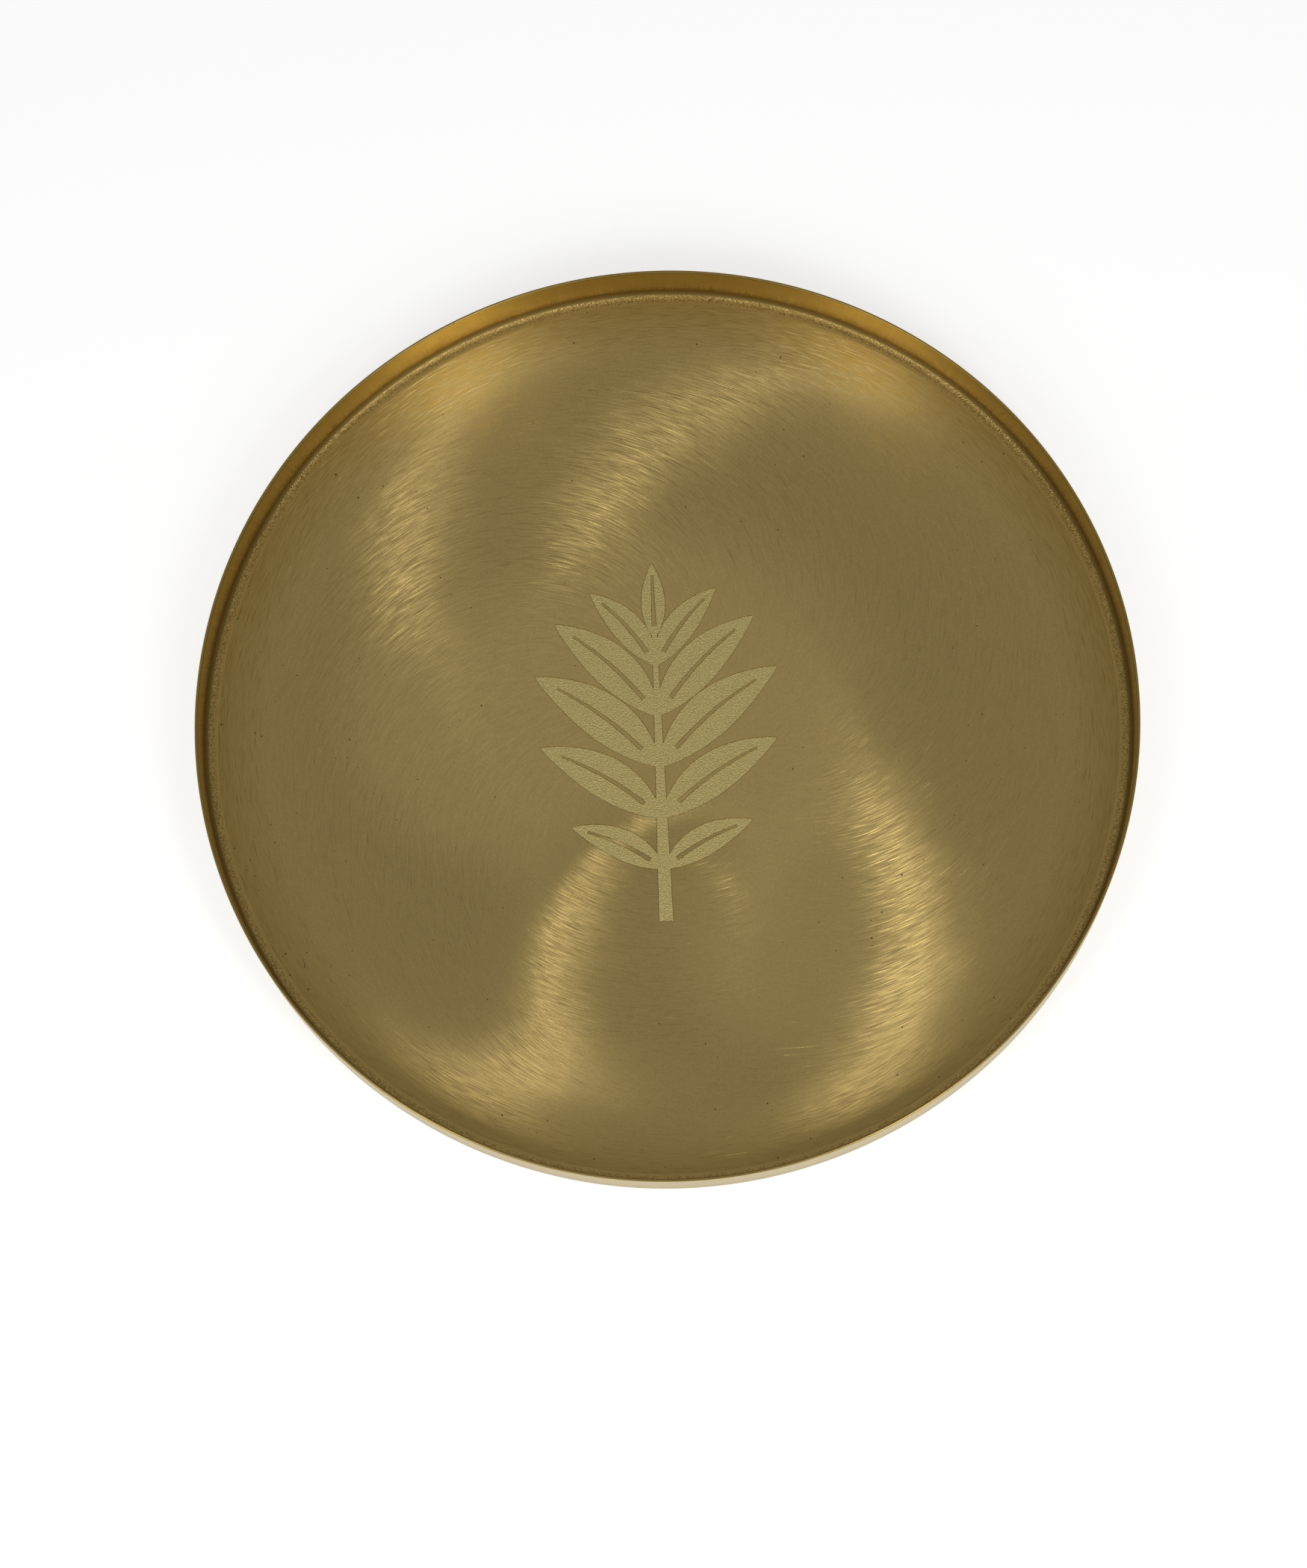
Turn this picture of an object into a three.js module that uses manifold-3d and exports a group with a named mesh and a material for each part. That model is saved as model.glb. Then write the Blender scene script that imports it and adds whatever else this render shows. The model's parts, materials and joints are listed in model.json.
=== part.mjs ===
// A shallow round brass tray, pressed from one sheet, with a leaf sprig etched into its floor.
// Millimetres, +Z up. The origin is the centre of the underside, and the sprig points along +Y.
import * as THREE from "three";
import { mergeVertices } from "three/addons/utils/BufferGeometryUtils.js";
import Module from "manifold-3d";

// The pressed sheet.
const DIAMETER = 150;
const HEIGHT = 9;
const SHEET = 0.5;
const CORNER_RADIUS = 1.6; // of the sheet's middle, where floor turns into wall
const WALL_DRAFT = THREE.MathUtils.degToRad(2.5); // the wall leans outwards by this
const TURN_STEPS = 120;
const CORNER_STEPS = 5;
const LIP_STEPS = 6; // over the half circle of the lip's edge

// The etched sprig: a tapered stem, leaves in pairs and one leaf at the top. The sprig's own
// middle is its origin, and it lies a little off the tray's middle.
const ETCH_DEPTH = 0.1;
const SPRIG_X = -1.5;
const SPRIG_Y = -1.7;
const STEM_BOTTOM = -29.7;
const STEM_TOP = 18.2;
const STEM_WIDTH_BOTTOM = 2.4;
const STEM_WIDTH_TOP = 0.9;
const LEAF_PAIRS = 5;
const FIRST_PAIR_Y = -21;
const PAIR_SPACING = 8.4;
const MIDDLE_LEAF_LENGTH = 25;
const END_LEAF_LENGTH = 11;
const TOP_LEAF_LENGTH = 12.5;
const TOP_LEAF_OVERLAP = 1; // how far the top leaf's foot reaches down over the stem
const LOWEST_LEAF_ANGLE = THREE.MathUtils.degToRad(63); // from the stem
const HIGHEST_LEAF_ANGLE = THREE.MathUtils.degToRad(39);
const LEAF_WIDTH_SHARE = 0.3; // of the leaf's length
const LEAF_ARCH_SHARE = 0.05; // how far a leaf's middle rises above a straight line
const LEAF_TIP_WIDTH = 0.24;
const BLADE_WIDEST_SHIFT = 0.9; // below 1 the blade is widest before its middle
const BLADE_ROUNDNESS = 0.85; // below 1 the blade is fuller than a plain sine
const VEIN_WIDTH = 0.55; // left standing along the middle of each leaf
const VEIN_START = 0.16; // as shares of the leaf's length
const VEIN_END = 0.84;
const VEIN_TAPER = 1.25; // the vein's width falls from this share of VEIN_WIDTH by one a length
const LOWEST_PAIR_FULLNESS = 0.12; // where the pairs lie on a half sine of leaf length
const HIGHEST_PAIR_FULLNESS = 0.88;
const LEAF_STEPS = 12;

// Working values, too small or too far out of the way to show in the shape.
const WELD_DISTANCE = 1e-4;
const DIRECTION_STEP = 1e-3; // share of a leaf over which its direction is taken
const CUTTER_HEIGHT = 1; // enough to reach above the floor

const wasm = await Module();
wasm.setup();

// A closed three.js geometry as a manifold-3d solid.
function solidFrom(geometry) {
  const bare = geometry.clone();
  bare.deleteAttribute("normal");
  bare.deleteAttribute("uv");
  const merged = mergeVertices(bare, WELD_DISTANCE);
  return new wasm.Manifold(
    new wasm.Mesh({
      numProp: 3,
      vertProperties: merged.attributes.position.array,
      triVerts: new Uint32Array(merged.index.array),
    }),
  );
}

// A manifold-3d solid as a three.js geometry with flat-shaded faces.
function geometryFrom(solid) {
  const mesh = solid.getMesh();
  const positions = new Float32Array(mesh.numVert * 3);
  for (let i = 0; i < mesh.numVert; i++) {
    const start = i * mesh.numProp;
    positions.set(mesh.vertProperties.subarray(start, start + 3), i * 3);
  }
  const geometry = new THREE.BufferGeometry();
  geometry.setAttribute("position", new THREE.BufferAttribute(positions, 3));
  geometry.setIndex(new THREE.BufferAttribute(new Uint32Array(mesh.triVerts), 1));
  const flat = geometry.toNonIndexed();
  flat.computeVertexNormals();
  return flat;
}

// Points on an arc about a centre, from one angle to another, both ends included.
function arc(centre, radius, from, to, steps) {
  const points = [];
  for (let i = 0; i <= steps; i++) {
    const angle = from + ((to - from) * i) / steps;
    points.push(
      new THREE.Vector2(
        centre.x + radius * Math.cos(angle),
        centre.y + radius * Math.sin(angle),
      ),
    );
  }
  return points;
}

// The sheet's section, as radius and height, from the middle of the underside round the lip to
// the middle of the floor.
function traySection() {
  const half = SHEET / 2;
  const cornerHeight = half + CORNER_RADIUS;
  const wallStart = cornerHeight - CORNER_RADIUS * Math.sin(WALL_DRAFT);
  const wallLength = (HEIGHT - half - wallStart) / Math.cos(WALL_DRAFT);
  const lipCentre = new THREE.Vector2(DIAMETER / 2 - half, HEIGHT - half);
  const cornerCentre = new THREE.Vector2(
    lipCentre.x -
      wallLength * Math.sin(WALL_DRAFT) -
      CORNER_RADIUS * Math.cos(WALL_DRAFT),
    cornerHeight,
  );
  const down = -Math.PI / 2;
  const outwards = -WALL_DRAFT;
  const outerCorner = arc(
    cornerCentre, CORNER_RADIUS + half, down, outwards, CORNER_STEPS,
  );
  const lip = arc(lipCentre, half, outwards, outwards + Math.PI, LIP_STEPS);
  const innerCorner = arc(
    cornerCentre, CORNER_RADIUS - half, outwards, down, CORNER_STEPS,
  );
  return [
    new THREE.Vector2(0, 0),
    ...outerCorner,
    ...lip,
    ...innerCorner,
    new THREE.Vector2(0, SHEET),
  ];
}

// The whole sheet, before etching.
function pressedSheet() {
  const geometry = new THREE.LatheGeometry(traySection(), TURN_STEPS);
  geometry.rotateX(Math.PI / 2);
  return solidFrom(geometry);
}

// A flat outline as a cutter that reaches from the bottom of the etching to above the floor.
function etchingCutter(outline) {
  const geometry = new THREE.ExtrudeGeometry(new THREE.Shape(outline), {
    depth: CUTTER_HEIGHT,
    bevelEnabled: false,
  });
  geometry.translate(SPRIG_X, SPRIG_Y, SHEET - ETCH_DEPTH);
  return solidFrom(geometry);
}

// A leaf's middle line at a share of its length: it leaves the stem at an angle to it and arches
// over. side is 1 on the right, -1 on the left and 0 for the leaf at the top.
function leafMiddle(leaf, share) {
  const along = leaf.length * share;
  const rise = LEAF_ARCH_SHARE * leaf.length * Math.sin(Math.PI * share);
  const x = along * Math.sin(leaf.angle) - rise * Math.cos(leaf.angle);
  const y = along * Math.cos(leaf.angle) + rise * Math.sin(leaf.angle);
  return new THREE.Vector2(leaf.side * x, leaf.y + y);
}

// An outline that follows a leaf's middle line between two shares of its length.
function leafBand(leaf, from, to, halfWidthAt) {
  const right = [];
  const left = [];
  for (let i = 0; i <= LEAF_STEPS; i++) {
    const share = from + ((to - from) * i) / LEAF_STEPS;
    const point = leafMiddle(leaf, share);
    const ahead = leafMiddle(leaf, share + DIRECTION_STEP);
    const behind = leafMiddle(leaf, share - DIRECTION_STEP);
    const along = ahead.sub(behind).normalize();
    const offset = new THREE.Vector2(along.y, -along.x);
    offset.multiplyScalar(halfWidthAt(share));
    right.push(point.clone().add(offset));
    left.push(point.clone().sub(offset));
  }
  return [...right, ...left.reverse()];
}

// The half width of a leaf's blade: a narrow foot, widest before the middle, and a pointed tip.
function bladeHalfWidth(leaf, share) {
  const widest = (LEAF_WIDTH_SHARE * leaf.length) / 2;
  const swell = Math.sin(Math.PI * Math.pow(share, BLADE_WIDEST_SHIFT));
  return LEAF_TIP_WIDTH / 2 + widest * Math.pow(Math.max(swell, 0), BLADE_ROUNDNESS);
}

function leafOutline(leaf) {
  return leafBand(leaf, 0, 1, (share) => bladeHalfWidth(leaf, share));
}

// The vein stops short of both ends of the blade and thins towards the tip.
function veinOutline(leaf) {
  const halfWidth = (share) => (VEIN_WIDTH / 2) * (VEIN_TAPER - share);
  return leafBand(leaf, VEIN_START, VEIN_END, halfWidth);
}

// The leaves, from the lowest pair to the one at the top: the middle pairs are the longest.
function sprigLeaves() {
  const leaves = [];
  for (let pair = 0; pair < LEAF_PAIRS; pair++) {
    const share = pair / (LEAF_PAIRS - 1);
    const fullness = Math.sin(
      Math.PI * THREE.MathUtils.lerp(LOWEST_PAIR_FULLNESS, HIGHEST_PAIR_FULLNESS, share),
    );
    const length = THREE.MathUtils.lerp(END_LEAF_LENGTH, MIDDLE_LEAF_LENGTH, fullness);
    const angle = THREE.MathUtils.lerp(LOWEST_LEAF_ANGLE, HIGHEST_LEAF_ANGLE, share);
    for (const side of [-1, 1]) {
      leaves.push({ side, y: FIRST_PAIR_Y + PAIR_SPACING * pair, length, angle });
    }
  }
  leaves.push({
    side: 0, y: STEM_TOP - TOP_LEAF_OVERLAP, length: TOP_LEAF_LENGTH, angle: 0,
  });
  return leaves;
}

function stemOutline() {
  return [
    new THREE.Vector2(-STEM_WIDTH_BOTTOM / 2, STEM_BOTTOM),
    new THREE.Vector2(STEM_WIDTH_BOTTOM / 2, STEM_BOTTOM),
    new THREE.Vector2(STEM_WIDTH_TOP / 2, STEM_TOP),
    new THREE.Vector2(-STEM_WIDTH_TOP / 2, STEM_TOP),
  ];
}

// Everything that the etching takes away.
function sprigCutter() {
  let cutter = etchingCutter(stemOutline());
  const leaves = sprigLeaves();
  for (const leaf of leaves) {
    cutter = cutter.add(etchingCutter(leafOutline(leaf)));
  }
  for (const leaf of leaves) {
    cutter = cutter.subtract(etchingCutter(veinOutline(leaf)));
  }
  return cutter;
}

const brass = new THREE.MeshStandardMaterial({
  color: 0xa98c4c,
  roughness: 0.35,
  metalness: 1,
});

const tray = new THREE.Mesh(
  geometryFrom(pressedSheet().subtract(sprigCutter())),
  brass,
);
tray.name = "pressed_tray";

const part = new THREE.Group();
part.add(tray);

export default part;
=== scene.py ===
import json
import math

import bmesh
import bpy
from mathutils import Matrix, Vector


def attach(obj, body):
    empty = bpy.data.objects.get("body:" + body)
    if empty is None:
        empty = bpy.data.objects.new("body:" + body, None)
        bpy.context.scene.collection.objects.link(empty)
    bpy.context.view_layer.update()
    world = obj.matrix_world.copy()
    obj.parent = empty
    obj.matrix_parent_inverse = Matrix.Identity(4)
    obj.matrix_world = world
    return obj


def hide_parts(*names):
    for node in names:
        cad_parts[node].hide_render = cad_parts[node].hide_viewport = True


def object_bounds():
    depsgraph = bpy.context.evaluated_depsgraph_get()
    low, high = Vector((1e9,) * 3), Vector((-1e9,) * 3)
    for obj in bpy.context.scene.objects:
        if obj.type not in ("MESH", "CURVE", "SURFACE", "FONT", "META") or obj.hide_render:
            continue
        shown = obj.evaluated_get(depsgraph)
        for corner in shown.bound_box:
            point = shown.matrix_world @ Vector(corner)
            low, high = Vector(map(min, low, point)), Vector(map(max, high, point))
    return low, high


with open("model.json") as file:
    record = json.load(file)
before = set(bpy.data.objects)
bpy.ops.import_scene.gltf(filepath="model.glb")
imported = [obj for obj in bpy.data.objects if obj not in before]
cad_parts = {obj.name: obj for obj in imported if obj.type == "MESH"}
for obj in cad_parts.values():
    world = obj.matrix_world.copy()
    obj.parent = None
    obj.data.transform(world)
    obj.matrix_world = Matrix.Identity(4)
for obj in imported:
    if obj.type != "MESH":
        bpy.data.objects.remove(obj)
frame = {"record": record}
CAD_LOW, CAD_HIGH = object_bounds()
MOUNTS = {mount["name"]: mount for mount in frame["record"]["mounts"]}

MM = 0.001  # a millimetre

# The pressed sheet: its size comes from the frame, its bends are the drawing's.
RADIUS = (CAD_HIGH.x - CAD_LOW.x) / 2
HEIGHT = CAD_HIGH.z
SHEET = MOUNTS["inner_floor"]["pos_m"][2]
CORNER_RADIUS = 1.6 * MM  # of the sheet's middle
WALL_DRAFT = math.radians(2.5)
TURN_STEPS = 384
CORNER_STEPS = 16
GRAIN_MARGIN = 0.7 * MM  # how far the corner's grain reaches onto the floor
WALL_STEPS = 6
LIP_STEPS = 12

# Where one finish ends and the next one starts, as the upright part of a face's normal.
FLAT = 0.99  # an etched face that looks up more than this is the ground, not the edge
FILLET_STEEPEST = 0.8  # the grain ends and the crease starts
UPWARD = 0.5  # a face low down that looks up more than this is on the sheet's inner side
CREASE_STEEPEST = 0.1  # the crease ends and the wall starts
LEVEL_TOLERANCE = 0.01 * MM  # within which a face counts as level with floor or underside

# The etched sprig, about its own middle.
ETCH_DEPTH = 0.1 * MM
ETCH_SLOPE = 0.08 * MM  # how far an etched edge slopes in over its depth
SPRIG_MIDDLE = Vector((-1.5, -1.7, 0)) * MM
STEM_BOTTOM = -29.7 * MM
STEM_TOP = 18.2 * MM
STEM_WIDTH_BOTTOM = 2.4 * MM
STEM_WIDTH_TOP = 0.9 * MM
LEAF_PAIRS = 5
FIRST_PAIR_Y = -21 * MM
PAIR_SPACING = 8.4 * MM
MIDDLE_LEAF_LENGTH = 25 * MM
END_LEAF_LENGTH = 11 * MM
TOP_LEAF_LENGTH = 12.5 * MM
LOWEST_LEAF_ANGLE = math.radians(63)
HIGHEST_LEAF_ANGLE = math.radians(39)
LOWEST_PAIR_FULLNESS = 0.12  # where the pairs lie on a half sine of leaf length
HIGHEST_PAIR_FULLNESS = 0.88
TOP_LEAF_OVERLAP = 1 * MM  # how far the top leaf's foot reaches down over the stem
LEAF_WIDTH_SHARE = 0.3  # of the leaf's length
LEAF_ARCH_SHARE = 0.05  # how far a leaf's middle rises above a straight line
LEAF_TIP_WIDTH = 0.24 * MM
LEAF_THINNEST = 0.02 * MM  # half width that stays at the tip on the bottom of the etching
BLADE_WIDEST_SHIFT = 0.9  # below 1 the blade is widest before its middle
BLADE_ROUNDNESS = 0.85  # below 1 the blade is fuller than a plain sine
VEIN_WIDTH = 0.55 * MM  # left standing along the middle of each leaf
VEIN_START = 0.16  # as shares of the leaf's length
VEIN_END = 0.84
VEIN_TAPER = 1.25  # the vein's width falls from this share of VEIN_WIDTH by one a length
LEAF_STEPS = 32
DIRECTION_STEP = 1e-3  # share of a leaf over which its direction is taken

# The pale floor, in metres.
FLOOR_HALF_SIZE = 6.0
FLOOR_GAP = 0.02 * MM  # too thin to see, so that floor and underside don't lie in one plane
FLOOR_GLOW = 0.75

# The camera, seen from the tray's middle.
CAMERA_AZIMUTH = math.radians(3.9)
CAMERA_ELEVATION = math.radians(75.0)
CAMERA_ROLL = math.radians(-6.4)
CAMERA_DISTANCE = 12 * RADIUS
CAMERA_LENS = 129.4  # mm
CAMERA_SENSOR = 36.0  # mm
AIM = Vector((-0.043, -0.1125, 0)) * RADIUS  # before the azimuth is turned in

# Two upright softboxes at the same height: azimuth from the camera's, in degrees, and radiance.
SOFTBOXES = [("right_softbox", 31.4, 4.9), ("left_softbox", -46.0, 3.7)]
SOFTBOX_ELEVATION = math.radians(40)
SOFTBOX_DISTANCE = 0.5
SOFTBOX_WIDTH = 0.1
SOFTBOX_HEIGHT = 0.3

# How the strokes on the floor curl. Going out along one, it turns round the tray's middle by
# STROKE_TURN radians for each radius, and by STROKE_CURL more, divided by the share of its way
# that is still to go. It would follow the rim at STROKES_END.
STROKES_END = 0.92  # as a share of the radius
STROKES_MOST = 0.97  # the furthest share of its way at which a stroke is worked out
STROKE_TURN = 1.0
STROKE_CURL = 0.66
LABEL_RADIUS = 24.0  # mm: strokes an angle apart count as far apart as they are at this radius
STAGGER = 6.3  # radians by which the streaks are shifted for each mm across them

# Shares of the radius between which the strokes come to lie side by side, and between which
# they turn into rings.
ALIGNED = (0.2, 0.6)
RINGED = (0.8, 0.9)
RIM_DEEPENING = (0.82, 1.0)  # and between which the floor is painted darker, as shade next to the wall, and more golden

# The patch of the floor that was brushed in rings, in mm from the tray's middle.
PATCH_MIDDLE = (-4.5, -33.8)
PATCH_SIZE = (25.0, 26.0)
PATCH_FADE = (0.5, 1.2)  # shares of its size between which it fades out

# Where the brushing is weak: x, y and size in mm, and by how much.
WEAK_SPOTS = [(17.0, -33.0, 22.0, 0.7), (-28.0, 4.0, 26.0, 0.95)]
WEAK_SPOT_EDGE = 1.3  # square of the share of its size at which a weak spot ends

# Streaks in the brushing: width and length in mm.
FINE_STREAK = (0.1, 2.4)
CUT_STREAK = (0.12, 3.4)
STRAY_STREAK = (0.14, 6.0)

# How rare the cuts, the stray strokes and the specks of dirt are: the noise between these two
# values makes them.
CUT_RARITY = (0.65, 0.69)
STRAY_RARITY = (0.74, 0.78)
DIRT_RARITY = (0.87, 0.9)
DIRT_DRIFT = 0.3  # how much the specks gather in some places
DIRT_NEAR_RIM = 0.04  # and towards the rim

# Noise scales, in waves for each mm: strokes drift off course slowly and tangle finely.
DRIFT_SCALE = 1 / 14.0
TANGLE_SCALE = 14.0

# By how many radians strokes turn off their course.
FINE_TURN = 0.18
DRIFT_TURN = 0.2
STRAY_TURN = 2.5
TANGLE_TURN = 7.0  # near the middle, where the strokes have no one direction

# How steep the strokes' sides are, and the floor's finish where it is brushed well or weakly.
FINE_SLOPE = 1.3
CUT_SLOPE = 0.32
WEAK_SLOPE_SHARE = 0.3
BRUSHED_ROUGHNESS = 0.43
WEAK_ROUGHNESS = 0.22
FLOOR_ANISOTROPY = 0.935

# The spun bands: faint lines of this length and width, and pits, in mm.
LINE_LENGTH = 12.0
LINE_WIDTH = 1 / 6
PIT_RARITY = (0.8, 0.84)
PIT_SHADE = 0.35
PAINTED_SHADE_HEIGHTS = (1.0, 6.0)  # heights in mm between which the wall gets lighter, from painted shade at its foot
SPUN_RELIEF = 0.02 * MM
SPUN_UNEVENNESS = 0.06  # of the roughness

# The turned rings on the underside, in mm.
TURNED_WIDTH = 1.25
TURNED_LENGTH = 40.0
TURNED_SLOPE = 0.3

# What the sky shows behind the floor, and what it lights the tray with: brightness against the
# sine of the height above the horizon, for a pale low backdrop, a dark room above it and a
# softly lit ceiling.
BACKDROP = (0.9, 0.9, 0.9, 1)
SKY = [(0.0, 0.9), (0.09, 0.12), (0.5, 0.12), (0.7, 0.315)]

# Linear colours.
BRASS = (0.78, 0.575, 0.215, 1)
DEEP_BRASS = (0.80, 0.57, 0.19, 1)
WALL_BRASS = (0.83, 0.64, 0.26, 1)
ETCHED_DARK = (0.80, 0.66, 0.27, 1)
ETCHED_LIGHT = (1.0, 0.84, 0.38, 1)
GRAIN_DARK = (0.41, 0.265, 0.075, 1)
GRAIN_LIGHT = (0.80, 0.56, 0.19, 1)
DIRT = (0.20, 0.13, 0.06, 1)
FLOOR_WHITE = (0.86, 0.86, 0.86, 1)


def lerp(low, high, share):
    return low + (high - low) * share


# ---------------------------------------------------------------- geometry


def arc(centre, radius, start, end, steps):
    """Points on an arc, both ends included."""
    points = []
    for i in range(steps + 1):
        angle = lerp(start, end, i / steps)
        points.append(
            (
                centre[0] + radius * math.cos(angle),
                centre[1] + radius * math.sin(angle),
            )
        )
    return points


def line(start, end, steps):
    """Points strictly between two ends."""
    return [
        (lerp(start[0], end[0], i / steps), lerp(start[1], end[1], i / steps))
        for i in range(1, steps)
    ]


def corner_centre():
    """Where the corner's arcs are centred, as radius and height."""
    half = SHEET / 2
    height = half + CORNER_RADIUS
    wall_start = height - CORNER_RADIUS * math.sin(WALL_DRAFT)
    wall_length = (HEIGHT - half - wall_start) / math.cos(WALL_DRAFT)
    radius = (
        RADIUS
        - half
        - wall_length * math.sin(WALL_DRAFT)
        - CORNER_RADIUS * math.cos(WALL_DRAFT)
    )
    return radius, height


FLOOR_RADIUS = corner_centre()[0]


def tray_section():
    """The sheet's outline as (radius, height), from the underside round the lip to the floor."""
    half = SHEET / 2
    centre = corner_centre()
    lip_centre = (RADIUS - half, HEIGHT - half)
    down = -math.pi / 2
    outwards = -WALL_DRAFT
    outer_corner = arc(centre, CORNER_RADIUS + half, down, outwards, CORNER_STEPS)
    edge = arc(lip_centre, half, outwards, outwards + math.pi, LIP_STEPS)
    inner_corner = arc(centre, CORNER_RADIUS - half, outwards, down, CORNER_STEPS)
    return [
        (FLOOR_RADIUS - GRAIN_MARGIN, 0),
        *outer_corner,
        *line(outer_corner[-1], edge[0], WALL_STEPS),
        *edge,
        *line(edge[-1], inner_corner[0], WALL_STEPS),
        *inner_corner,
        (FLOOR_RADIUS - GRAIN_MARGIN, SHEET),
    ]


def object_from(mesh_name, build):
    """A linked mesh object filled by build(bmesh)."""
    mesh = bpy.data.meshes.new(mesh_name)
    work = bmesh.new()
    build(work)
    work.to_mesh(mesh)
    work.free()
    made = bpy.data.objects.new(mesh_name, mesh)
    bpy.context.scene.collection.objects.link(made)
    return made


def build_sheet(work):
    """The pressed sheet as one closed body of turned rings and two flat discs."""
    rings = []
    for radius, height in tray_section():
        ring = []
        for step in range(TURN_STEPS):
            angle = 2 * math.pi * step / TURN_STEPS
            point = (radius * math.cos(angle), radius * math.sin(angle), height)
            ring.append(work.verts.new(point))
        rings.append(ring)
    for lower, upper in zip(rings, rings[1:]):
        for i in range(TURN_STEPS):
            j = (i + 1) % TURN_STEPS
            work.faces.new((lower[i], lower[j], upper[j], upper[i]))
    work.faces.new(reversed(rings[0]))
    work.faces.new(rings[-1])


def build_prism(work, bottom_outline, top_outline, bottom, top):
    """A closed body between two flat outlines with as many points, both given in one sense."""
    low = [work.verts.new((p.x, p.y, bottom)) for p in bottom_outline]
    high = [work.verts.new((p.x, p.y, top)) for p in top_outline]
    work.faces.new(reversed(low))
    work.faces.new(high)
    for i in range(len(low)):
        j = (i + 1) % len(low)
        work.faces.new((low[i], low[j], high[j], high[i]))
    bmesh.ops.recalc_face_normals(work, faces=work.faces)


def leaf_middle(leaf, share):
    """A leaf's middle line: it leaves the stem at an angle to it and arches over."""
    along = leaf["length"] * share
    rise = LEAF_ARCH_SHARE * leaf["length"] * math.sin(math.pi * share)
    turn = leaf["angle"]
    x = along * math.sin(turn) - rise * math.cos(turn)
    y = along * math.cos(turn) + rise * math.sin(turn)
    return Vector((leaf["side"] * x, leaf["y"] + y))


def leaf_band(leaf, start, end, half_width_at):
    """An outline that follows a leaf's middle line between two shares of its length."""
    right = []
    left = []
    for i in range(LEAF_STEPS + 1):
        share = lerp(start, end, i / LEAF_STEPS)
        point = leaf_middle(leaf, share)
        ahead = leaf_middle(leaf, share + DIRECTION_STEP)
        behind = leaf_middle(leaf, share - DIRECTION_STEP)
        along = ahead - behind
        across = Vector((along.y, -along.x)).normalized() * half_width_at(share)
        right.append(point + across)
        left.append(point - across)
    return right + left[::-1]


def leaf_outline(leaf, spread):
    """A narrow foot, widest before the middle, and a pointed tip."""

    def half_width(share):
        swell = max(math.sin(math.pi * share**BLADE_WIDEST_SHIFT), 0) ** BLADE_ROUNDNESS
        blade = (LEAF_TIP_WIDTH + LEAF_WIDTH_SHARE * leaf["length"] * swell) / 2
        return max(blade + spread, LEAF_THINNEST)

    return leaf_band(leaf, 0, 1, half_width)


def vein_outline(leaf, spread):
    """The line left standing along a leaf, thinner towards the tip."""

    def half_width(share):
        return VEIN_WIDTH / 2 * (VEIN_TAPER - share) - spread

    return leaf_band(leaf, VEIN_START, VEIN_END, half_width)


def sprig_leaves():
    """The leaves, from the lowest pair to the one at the top: the middle pairs are the longest."""
    leaves = []
    for pair in range(LEAF_PAIRS):
        share = pair / (LEAF_PAIRS - 1)
        place_on_sine = lerp(LOWEST_PAIR_FULLNESS, HIGHEST_PAIR_FULLNESS, share)
        fullness = math.sin(math.pi * place_on_sine)
        for side in (-1, 1):
            leaves.append(
                {
                    "side": side,
                    "y": FIRST_PAIR_Y + PAIR_SPACING * pair,
                    "length": lerp(END_LEAF_LENGTH, MIDDLE_LEAF_LENGTH, fullness),
                    "angle": lerp(LOWEST_LEAF_ANGLE, HIGHEST_LEAF_ANGLE, share),
                }
            )
    leaves.append(
        {
            "side": 0,
            "y": STEM_TOP - TOP_LEAF_OVERLAP,
            "length": TOP_LEAF_LENGTH,
            "angle": 0,
        }
    )
    return leaves


def stem_outline(spread):
    """The tapered stem, grown by spread on all sides but its top, which a leaf covers."""
    bottom = STEM_WIDTH_BOTTOM / 2 + spread
    top = STEM_WIDTH_TOP / 2 + spread
    return [
        Vector((-bottom, STEM_BOTTOM - spread)),
        Vector((bottom, STEM_BOTTOM - spread)),
        Vector((top, STEM_TOP)),
        Vector((-top, STEM_TOP)),
    ]


def combine(target, tool, operation):
    """Joins tool to target or cuts it away, and removes tool."""
    step = target.modifiers.new("cut", "BOOLEAN")
    step.operation = operation
    step.solver = "MANIFOLD"
    step.object = tool
    evaluated = target.evaluated_get(bpy.context.evaluated_depsgraph_get())
    result = bpy.data.meshes.new_from_object(evaluated)
    target.modifiers.clear()
    target.data = result
    bpy.data.objects.remove(tool)


def etching_tool(outline_at):
    """A part of the sprig as a body whose sloping sides meet the floor on its outline.
    outline_at(spread) is the outline, grown by spread."""

    def build(work):
        bottom = [p + SPRIG_MIDDLE.xy for p in outline_at(-ETCH_SLOPE)]
        top = [p + SPRIG_MIDDLE.xy for p in outline_at(ETCH_SLOPE)]
        build_prism(work, bottom, top, SHEET - ETCH_DEPTH, SHEET + ETCH_DEPTH)

    return object_from("etching_tool", build)


def etch(tray):
    """Cuts the sprig out of the tray's floor and leaves the leaves' veins standing."""
    cutter = etching_tool(stem_outline)
    leaves = sprig_leaves()
    for leaf in leaves:
        tool = etching_tool(lambda spread: leaf_outline(leaf, spread))
        combine(cutter, tool, "UNION")
    for leaf in leaves:
        tool = etching_tool(lambda spread: vein_outline(leaf, spread))
        combine(cutter, tool, "DIFFERENCE")
    combine(tray, cutter, "DIFFERENCE")


# ---------------------------------------------------------------- materials


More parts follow.
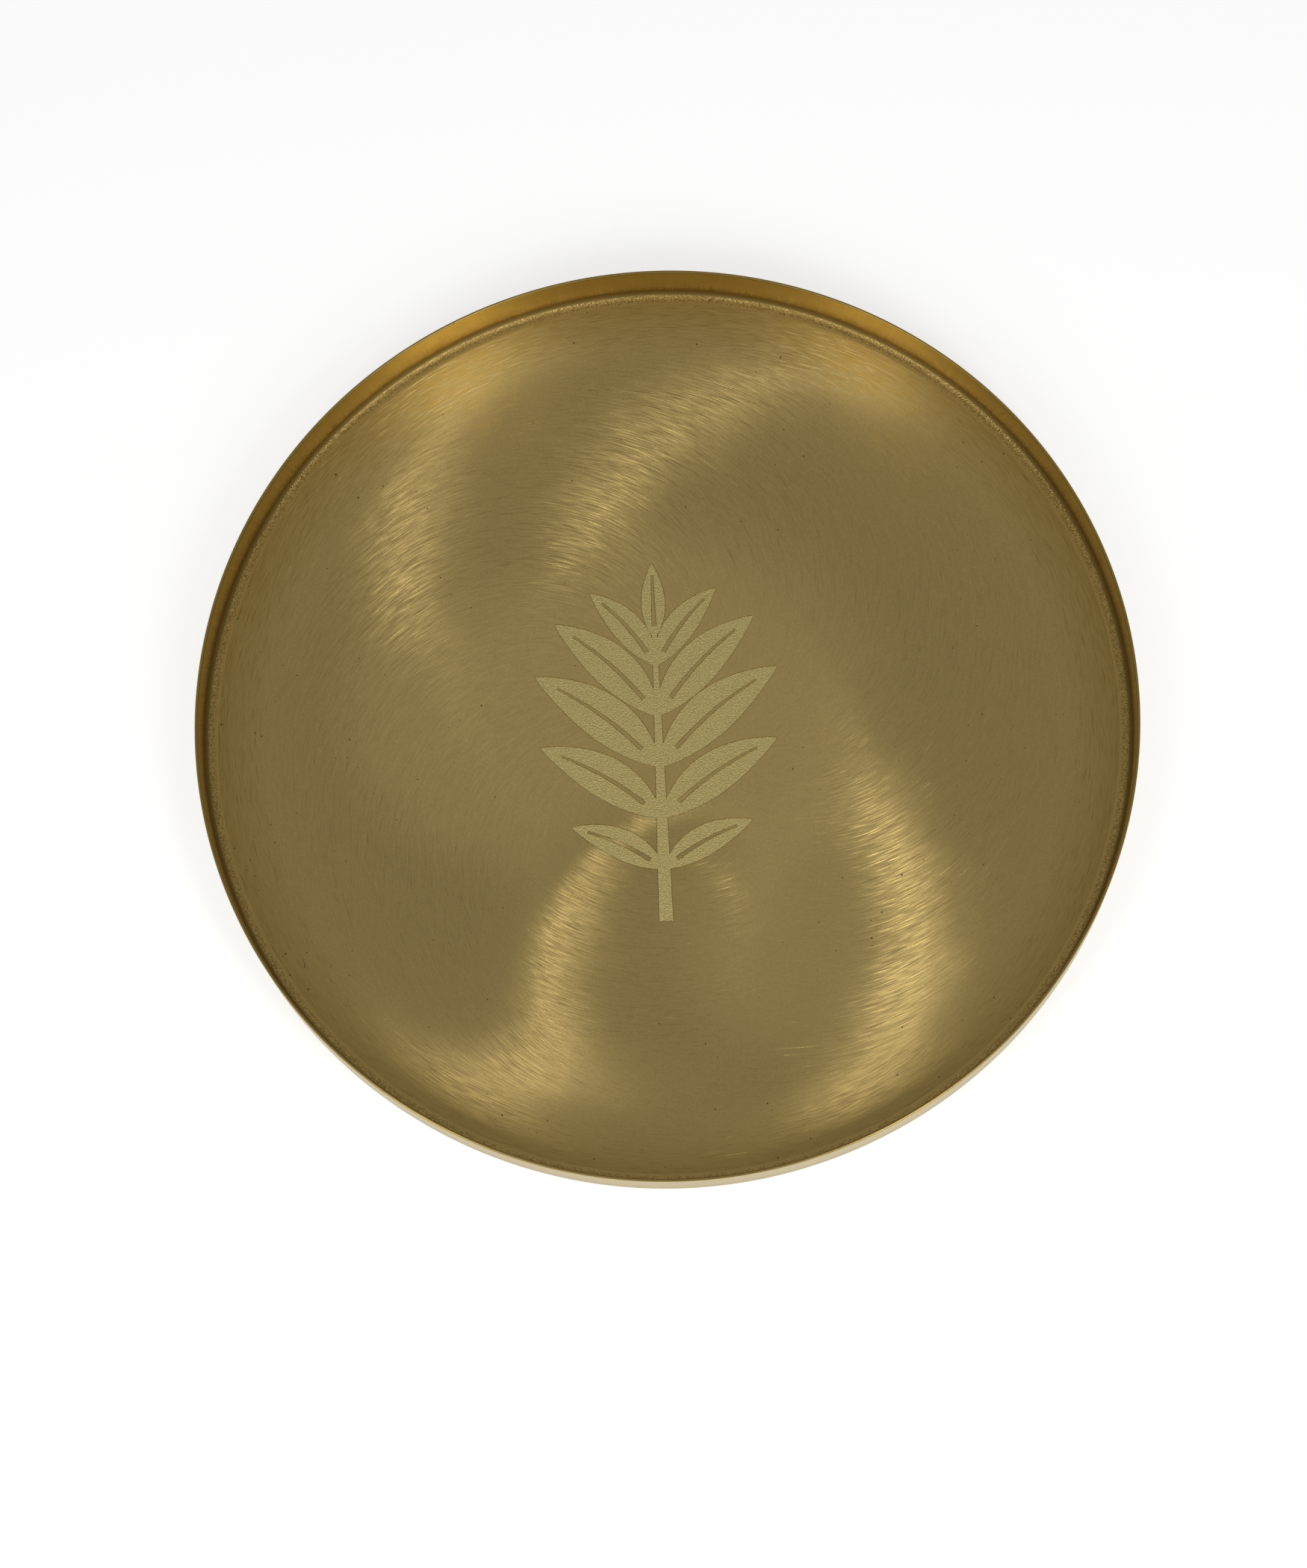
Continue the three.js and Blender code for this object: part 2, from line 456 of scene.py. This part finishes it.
class Value:
    """A number or vector in a node tree. Arithmetic on it adds Math nodes."""

    def __init__(self, graph, socket):
        self.graph = graph
        self.socket = socket

    def __add__(self, other):
        return self.graph.math("ADD", self, other)

    def __sub__(self, other):
        return self.graph.math("SUBTRACT", self, other)

    def __rsub__(self, other):
        return self.graph.math("SUBTRACT", other, self)

    def __mul__(self, other):
        return self.graph.math("MULTIPLY", self, other)

    def __truediv__(self, other):
        return self.graph.math("DIVIDE", self, other)

    def __rtruediv__(self, other):
        return self.graph.math("DIVIDE", other, self)

    __radd__ = __add__
    __rmul__ = __mul__


class Graph:
    """A material's node tree, with short calls for the nodes used here."""

    def __init__(self, name):
        self.material = bpy.data.materials.new(name)
        self.material.use_nodes = True
        self.tree = self.material.node_tree
        self.tree.nodes.clear()

    def node(self, kind, inputs, **settings):
        made = self.tree.nodes.new(kind)
        for key, value in settings.items():
            setattr(made, key, value)
        for key, value in inputs.items():
            if isinstance(value, Value):
                self.tree.links.new(value.socket, made.inputs[key])
            else:
                made.inputs[key].default_value = value
        return made

    def out(self, node, name=0):
        return Value(self, node.outputs[name])

    def math(self, operation, *values):
        inputs = dict(enumerate(values))
        return self.out(self.node("ShaderNodeMath", inputs, operation=operation))

    def vector(self, x, y, z):
        inputs = {"X": x, "Y": y, "Z": z}
        return self.out(self.node("ShaderNodeCombineXYZ", inputs))

    def split(self, vector):
        made = self.node("ShaderNodeSeparateXYZ", {0: vector})
        return [self.out(made, axis) for axis in "XYZ"]

    def vector_math(self, operation, *values):
        inputs = dict(enumerate(values))
        return self.out(self.node("ShaderNodeVectorMath", inputs, operation=operation))

    def scaled(self, vector, scale):
        inputs = {0: vector, "Scale": scale}
        made = self.node("ShaderNodeVectorMath", inputs, operation="SCALE")
        return self.out(made)

    def noise(self, vector, scale, detail=2.0, roughness=0.5, w=None):
        inputs = {
            "Vector": vector,
            "Scale": scale,
            "Detail": detail,
            "Roughness": roughness,
        }
        if w is not None:
            inputs["W"] = w
        dimensions = "3D" if w is None else "4D"
        return self.out(
            self.node("ShaderNodeTexNoise", inputs, noise_dimensions=dimensions)
        )

    def step(self, value, low, high):
        """0 below low, 1 above high and smooth between."""
        inputs = {"Value": value, "From Min": low, "From Max": high}
        made = self.node(
            "ShaderNodeMapRange", inputs, interpolation_type="SMOOTHSTEP"
        )
        return self.out(made)

    def between(self, share, low, high):
        return low + (high - low) * share

    def mixed(self, share, first, second):
        inputs = {0: share, 6: first, 7: second}
        made = self.node("ShaderNodeMix", inputs, data_type="RGBA")
        return self.out(made, 2)

    def finish(self, **inputs):
        shader = self.node("ShaderNodeBsdfPrincipled", inputs)
        surface = Value(self, shader.outputs[0])
        self.node("ShaderNodeOutputMaterial", {"Surface": surface})
        return self.material


def place(graph):
    """Where the surface point is, in millimetres."""
    coordinates = graph.node("ShaderNodeTexCoord", {})
    return graph.scaled(graph.out(coordinates, "Object"), 1 / MM)


def face_normal(graph):
    return graph.out(graph.node("ShaderNodeNewGeometry", {}), "Normal")


def tilted(graph, normal, direction, slope):
    """normal, tipped along direction by a slope."""
    tip = graph.scaled(direction, slope)
    return graph.vector_math("NORMALIZE", graph.vector_math("ADD", normal, tip))


def swirl(graph):
    """Where a point of the floor lies in the brushing. The strokes leave the middle almost
    straight and curl round until they are rings; in one patch they are rings as well.

    radius is in mm and share the same as a share of the tray's. label tells one stroke from the
    next, as an angle. lean is the angle between the stroke and the way round, 0 in rings.
    ringed, aligned and brushed say how far the strokes are rings, side by side and strong."""
    x, y, _ = graph.split(place(graph))
    radius = graph.math("SQRT", x * x + y * y)
    share = radius / (RADIUS / MM)
    left = 1 - graph.math("MINIMUM", share / STROKES_END, STROKES_MOST)
    turn = STROKE_TURN + STROKE_CURL / left
    angle = graph.math("ARCTAN2", y, x)
    curl = graph.math("LOGARITHM", left, math.e) * (STROKE_CURL * STROKES_END)
    label = angle - share * STROKE_TURN + curl
    lean = graph.math("ARCTAN2", 1.0, share * turn)
    patch_x = (x - PATCH_MIDDLE[0]) / PATCH_SIZE[0]
    patch_y = (y - PATCH_MIDDLE[1]) / PATCH_SIZE[1]
    patch_distance = graph.math("SQRT", patch_x * patch_x + patch_y * patch_y)
    patch = 1 - graph.step(patch_distance, *PATCH_FADE)
    ringed = graph.math("MAXIMUM", patch, graph.step(share, *RINGED))
    aligned = graph.math("MAXIMUM", patch, graph.step(share, *ALIGNED))
    brushed = aligned
    for spot_x, spot_y, size, weakness in WEAK_SPOTS:
        along = (x - spot_x) / size
        up = (y - spot_y) / size
        spot = 1 - graph.step(along * along + up * up, 0.0, WEAK_SPOT_EDGE)
        brushed = brushed * (1 - spot * weakness)
    return {
        "x": x,
        "y": y,
        "radius": radius,
        "share": share,
        "label": label,
        "lean": lean * (1 - ringed),
        "ringed": ringed,
        "aligned": aligned,
        "brushed": brushed,
    }


def across_strokes(graph, pattern, jitter):
    """The unit vector across the strokes, each turned by its jitter in radians."""
    lean = pattern["lean"] + jitter
    out_x = pattern["x"] / pattern["radius"]
    out_y = pattern["y"] / pattern["radius"]
    sine = graph.math("SINE", lean)
    cosine = graph.math("COSINE", lean)
    return graph.vector(
        -1.0 * (out_y * sine + out_x * cosine), out_x * sine - out_y * cosine, 0.0
    )


def staggered(graph, pattern, place_across, length):
    """The place on the floor in streak lengths, shifted from one stroke to the next, so that
    neighbouring streaks start and end at different places."""
    turn = place_across * STAGGER
    along = pattern["x"] / length + graph.math("SINE", turn)
    up = pattern["y"] / length + graph.math("COSINE", turn)
    return along, up


def streaks(graph, pattern, width, length):
    """Noise in streaks along the strokes, about 0.5 on average. width and length in mm."""
    label = pattern["label"]
    round_trip = LABEL_RADIUS / width
    along, up = staggered(graph, pattern, label * LABEL_RADIUS, length)
    swirl_place = graph.vector(
        graph.math("COSINE", label) * round_trip,
        graph.math("SINE", label) * round_trip,
        along,
    )
    swirled = graph.noise(swirl_place, scale=1.0, detail=0.0, w=up)
    along, up = staggered(graph, pattern, pattern["radius"], length)
    ring_place = graph.vector(pattern["radius"] / width, along, up)
    rings = graph.noise(ring_place, scale=1.0, detail=0.0)
    return graph.between(pattern["ringed"], swirled, rings)


def brass(graph, tint, roughness, normal, **more):
    """Finishes a material of bare metal, with tint as its colour."""
    inputs = {"Base Color": tint, "Metallic": 1.0, "Roughness": roughness}
    return graph.finish(**inputs, Normal=normal, **more)


def scaled(colour, scale):
    return (*(channel * scale for channel in colour[:3]), 1)


def shaded(graph, share, colour, dark, light):
    """A colour between one scaled by dark and the same scaled by light."""
    return graph.mixed(share, scaled(colour, dark), scaled(colour, light))


def stroke_jitter(graph, pattern, fine, drift):
    """By how many radians the strokes turn off their course."""
    stray = graph.step(streaks(graph, pattern, *STRAY_STREAK), *STRAY_RARITY)
    tangle = graph.noise(place(graph), scale=TANGLE_SCALE, detail=0.0)
    tangled = 1 - pattern["aligned"]
    jitter = (fine - 0.5) * FINE_TURN
    jitter = jitter + (drift - 0.5) * (stray * STRAY_TURN + DRIFT_TURN)
    return jitter + (tangle - 0.5) * tangled * tangled * TANGLE_TURN


def stroke_slope(graph, pattern, fine):
    """How steeply the surface tips across the strokes: fine ones, and cuts with sharp sides."""
    cut = streaks(graph, pattern, *CUT_STREAK)
    cut = graph.step(cut, *CUT_RARITY) - graph.step(1 - cut, *CUT_RARITY)
    slope = (fine - 0.5) * FINE_SLOPE + cut * CUT_SLOPE
    return slope * graph.between(pattern["brushed"], WEAK_SLOPE_SHARE, 1.0)


def floor_tint(graph, pattern, fine, drift):
    """Clouded and streaked brass, darker towards the rim as painted shade next to the wall and
    more golden there, with specks of dirt.
    """
    point = place(graph)
    share = pattern["share"]
    mottle = graph.noise(point, scale=2.5, detail=3.0, roughness=0.7)
    shade = graph.step(mottle, 0.3, 0.7) * 0.5 + graph.step(fine, 0.3, 0.7) * 0.5
    tint = shaded(graph, shade, BRASS, dark=0.9, light=1.1)
    # painted shade: towards the rim the floor turns to the deeper, more golden brass scaled down
    # by a tenth
    tint = graph.mixed(graph.step(share, *RIM_DEEPENING), tint, scaled(DEEP_BRASS, 0.9))
    dirt = graph.noise(point, scale=1.7, detail=0.0) + (drift - 0.5) * DIRT_DRIFT
    dirt = dirt + graph.step(share, 0.6, 1.0) * DIRT_NEAR_RIM
    return graph.mixed(graph.step(dirt, *DIRT_RARITY), tint, DIRT)


def brushed_floor():
    graph = Graph("brushed_floor")
    pattern = swirl(graph)
    fine = streaks(graph, pattern, *FINE_STREAK)
    drift = graph.noise(place(graph), scale=DRIFT_SCALE)
    jitter = stroke_jitter(graph, pattern, fine, drift)
    across = across_strokes(graph, pattern, jitter)
    slope = stroke_slope(graph, pattern, fine)
    normal = tilted(graph, face_normal(graph), across, slope)
    tint = floor_tint(graph, pattern, fine, drift)
    roughness = graph.between(pattern["brushed"], WEAK_ROUGHNESS, BRUSHED_ROUGHNESS)
    return brass(
        graph, tint, roughness, normal, Anisotropic=FLOOR_ANISOTROPY, Tangent=across
    )


def grain(graph, point, size, height, fade=1.0):
    """Noise in grains of this size, and the normal of a surface that it raises by up to this
    height, both in mm. The height is scaled by fade."""
    rough = graph.noise(point, scale=1 / size, detail=1.0)
    inputs = {"Strength": 1.0, "Distance": height * MM, "Height": rough * fade}
    return rough, graph.out(graph.node("ShaderNodeBump", inputs))


def etched():
    """The etched ground: matt, pale and sandy."""
    graph = Graph("etched")
    rough, normal = grain(graph, place(graph), size=0.22, height=0.12)
    tint = graph.mixed(graph.step(rough, 0.35, 0.65), ETCHED_DARK, ETCHED_LIGHT)
    return brass(graph, tint, 0.6, normal)


def etched_edge_painted_shade():
    """The etched sprig's sloping edge, painted dark as the shade in the etched recess, with a
    grain in it.
    """
    graph = Graph("etched_edge_painted_shade")
    rough, normal = grain(graph, place(graph), size=0.15, height=0.05)
    shade = graph.step(rough, 0.4, 0.6)
    # painted shade: the edge's colour is darkened to stand in for the shadow in the recess
    tint = shaded(graph, shade, DEEP_BRASS, dark=0.25, light=0.7)
    return brass(graph, tint, 0.5, normal)


def outwards_from_middle(graph, point):
    """The distance from the tray's axis and the unit vector away from it."""
    x, y, _ = graph.split(point)
    radius = graph.math("SQRT", x * x + y * y)
    return radius, graph.vector(x / radius, y / radius, 0.0)


def fillet():
    """The corner: the sheet's stretched grain shows, where no brush reaches."""
    graph = Graph("fillet")
    point = place(graph)
    radius, outwards = outwards_from_middle(graph, point)
    edge = FLOOR_RADIUS / MM
    fade = graph.step(radius, edge - GRAIN_MARGIN / MM, edge)
    rough, normal = grain(graph, point, size=0.22, height=0.08, fade=fade)
    tint = graph.mixed(graph.step(rough, 0.3, 0.7), GRAIN_DARK, GRAIN_LIGHT)
    tint = graph.mixed(fade, scaled(DEEP_BRASS, 0.84), tint)
    return brass(graph, tint, 0.36, normal, Anisotropic=0.8, Tangent=outwards)


def spun(name, colour, roughness, foot, top):
    """A smooth brass band with faint lines that run round the tray, and tiny pits. foot and top
    scale the colour low down and high up: painted shade, darkest at the foot."""
    graph = Graph(name)
    point = place(graph)
    x, y, z = graph.split(point)
    line_place = graph.vector(x / LINE_LENGTH, y / LINE_LENGTH, z / LINE_WIDTH)
    lines = graph.noise(line_place, scale=1.0, detail=3.0)
    cloud = graph.noise(point, scale=0.4)
    pits = graph.step(graph.noise(point, scale=3.0, detail=0.0), *PIT_RARITY)
    # painted shade: each band is darker low down, in the corner and next to the floor; the clouds
    # and lines add a little real unevenness
    shade = graph.step(z, *PAINTED_SHADE_HEIGHTS) * 0.7 + cloud * 0.2 + lines * 0.1
    tint = shaded(graph, shade, colour, foot, top)
    tint = graph.mixed(pits, tint, scaled(colour, PIT_SHADE))
    relief = lines * 0.6 + cloud - pits
    inputs = {"Strength": 1.0, "Distance": SPUN_RELIEF, "Height": relief}
    normal = graph.out(graph.node("ShaderNodeBump", inputs))
    least = roughness - SPUN_UNEVENNESS
    most = roughness + SPUN_UNEVENNESS
    return brass(graph, tint, graph.between(lines, least, most), normal)


# Painted shade: the crease is painted darker than its brass, as the shade in the corner.
def crease():
    return spun("crease", DEEP_BRASS, roughness=0.5, foot=0.45, top=0.7)


# Painted shade at the wall's foot, and painted light at its top, where it is lighter than its
# brass.
def wall():
    return spun("wall", WALL_BRASS, roughness=0.22, foot=0.58, top=1.1)


# Painted shade: the lip is painted darker than its brass.
def lip():
    return spun("lip", DEEP_BRASS, roughness=0.3, foot=0.3, top=0.65)


# Painted shade: the outside is painted darker than its brass, most of all next to the floor.
def outside():
    return spun("outside", WALL_BRASS, roughness=0.35, foot=0.42, top=0.6)


def underside():
    """Turned on a lathe: fine rings round the middle."""
    graph = Graph("underside")
    point = place(graph)
    x, y, _ = graph.split(point)
    radius, outwards = outwards_from_middle(graph, point)
    across = radius / TURNED_WIDTH
    ring_place = graph.vector(across, x / TURNED_LENGTH, y / TURNED_LENGTH)
    rings = graph.noise(ring_place, scale=1.0, detail=1.0)
    slope = (rings - 0.5) * TURNED_SLOPE
    normal = tilted(graph, face_normal(graph), outwards, slope)
    tint = shaded(graph, rings, BRASS, dark=0.7, light=1.0)
    return brass(graph, tint, 0.35, normal)


def pale_floor():
    graph = Graph("pale_floor")
    inputs = {
        "Base Color": FLOOR_WHITE,
        "Roughness": 0.8,
        "Emission Color": FLOOR_WHITE,
        "Emission Strength": FLOOR_GLOW,
    }
    return graph.finish(**inputs)


# ---------------------------------------------------------------- the piece


FINISHES = [
    brushed_floor,
    etched,
    etched_edge_painted_shade,
    fillet,
    crease,
    wall,
    lip,
    outside,
    underside,
]
ROUND_FINISHES = [fillet, crease, wall, lip, outside]


def finish_of(face):
    """Which finish a face of the tray has, from where it is and which way it looks."""
    centre = face.center
    normal = face.normal
    out = centre.xy.length
    if out < FLOOR_RADIUS - GRAIN_MARGIN:
        if centre.z < LEVEL_TOLERANCE:
            return underside
        if centre.z > SHEET - LEVEL_TOLERANCE:
            return brushed_floor
        return etched if normal.z > FLAT else etched_edge_painted_shade
    if centre.z > HEIGHT - SHEET / 2:
        return lip
    looks_inwards = normal.x * centre.x + normal.y * centre.y < 0
    looks_up = normal.z > UPWARD and centre.z < HEIGHT / 2
    if not looks_inwards and not looks_up:
        return outside
    if normal.z > FILLET_STEEPEST:
        return fillet
    return crease if normal.z > CREASE_STEEPEST else wall


def build_tray():
    tray = object_from("brass_tray", build_sheet)
    etch(tray)
    tray.data.materials.clear()
    for finish in FINISHES:
        tray.data.materials.append(finish())
    for face in tray.data.polygons:
        finish = finish_of(face)
        face.material_index = FINISHES.index(finish)
        face.use_smooth = finish in ROUND_FINISHES
    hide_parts("pressed_tray")
    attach(tray, "root")


# ---------------------------------------------------------------- the stage


def direction(azimuth, elevation):
    """Azimuth 0 is on the -Y side and grows anticlockwise, seen from above."""
    return Vector(
        (
            math.sin(azimuth) * math.cos(elevation),
            -math.cos(azimuth) * math.cos(elevation),
            math.sin(elevation),
        )
    )


def add_floor():
    def build(work):
        bmesh.ops.create_grid(work, x_segments=1, y_segments=1, size=FLOOR_HALF_SIZE)

    floor = object_from("pale_floor", build)
    floor.location.z = -FLOOR_GAP
    floor.data.materials.append(pale_floor())


def add_camera():
    """Looks down at the tray from the -Y side, rolled a little."""
    back = direction(CAMERA_AZIMUTH, CAMERA_ELEVATION)
    aim = Matrix.Rotation(CAMERA_AZIMUTH, 3, "Z") @ AIM
    across = Vector((0, 0, 1)).cross(back).normalized()
    up = back.cross(across)
    right = across * math.cos(CAMERA_ROLL) + up * math.sin(CAMERA_ROLL)
    top = up * math.cos(CAMERA_ROLL) - across * math.sin(CAMERA_ROLL)
    data = bpy.data.cameras.new("camera")
    data.lens = CAMERA_LENS
    data.sensor_width = CAMERA_SENSOR
    data.clip_start = 0.01
    data.clip_end = 100
    camera = bpy.data.objects.new("camera", data)
    bpy.context.scene.collection.objects.link(camera)
    turned = Matrix((right, top, back)).transposed().to_4x4()
    camera.matrix_world = Matrix.Translation(aim + back * CAMERA_DISTANCE) @ turned
    bpy.context.scene.camera = camera


def add_softbox(name, azimuth, radiance):
    """An upright rectangular light aimed at the tray."""
    back = direction(CAMERA_AZIMUTH + math.radians(azimuth), SOFTBOX_ELEVATION)
    data = bpy.data.lights.new(name, "AREA")
    data.shape = "RECTANGLE"
    data.size = SOFTBOX_WIDTH
    data.size_y = SOFTBOX_HEIGHT
    data.energy = radiance * math.pi * SOFTBOX_WIDTH * SOFTBOX_HEIGHT
    light = bpy.data.objects.new(name, data)
    bpy.context.scene.collection.objects.link(light)
    light.location = back * SOFTBOX_DISTANCE
    light.rotation_mode = "QUATERNION"
    light.rotation_quaternion = back.to_track_quat("Z", "Y")


def set_world():
    """A sky that lights the tray, with a plain backdrop wherever the camera sees it."""
    world = bpy.data.worlds.new("studio")
    bpy.context.scene.world = world
    world.use_nodes = True
    tree = world.node_tree
    tree.nodes.clear()
    coordinates = tree.nodes.new("ShaderNodeTexCoord")
    split = tree.nodes.new("ShaderNodeSeparateXYZ")
    ramp = tree.nodes.new("ShaderNodeValToRGB")
    light_path = tree.nodes.new("ShaderNodeLightPath")
    seen = tree.nodes.new("ShaderNodeMixRGB")
    seen.inputs[2].default_value = BACKDROP
    background = tree.nodes.new("ShaderNodeBackground")
    output = tree.nodes.new("ShaderNodeOutputWorld")
    tree.links.new(coordinates.outputs["Generated"], split.inputs[0])
    tree.links.new(split.outputs["Z"], ramp.inputs[0])
    tree.links.new(light_path.outputs["Is Camera Ray"], seen.inputs[0])
    tree.links.new(ramp.outputs[0], seen.inputs[1])
    tree.links.new(seen.outputs[0], background.inputs[0])
    tree.links.new(background.outputs[0], output.inputs[0])
    stops = ramp.color_ramp.elements
    for _ in range(len(SKY) - len(stops)):
        stops.new(1.0)
    for stop, (height, brightness) in zip(stops, SKY):
        stop.position = height
        stop.color = (brightness, brightness, brightness, 1)


add_camera()
add_floor()
set_world()
for name, azimuth, radiance in SOFTBOXES:
    add_softbox(name, azimuth, radiance)
build_tray()
bpy.context.scene.view_settings.view_transform = "Standard"
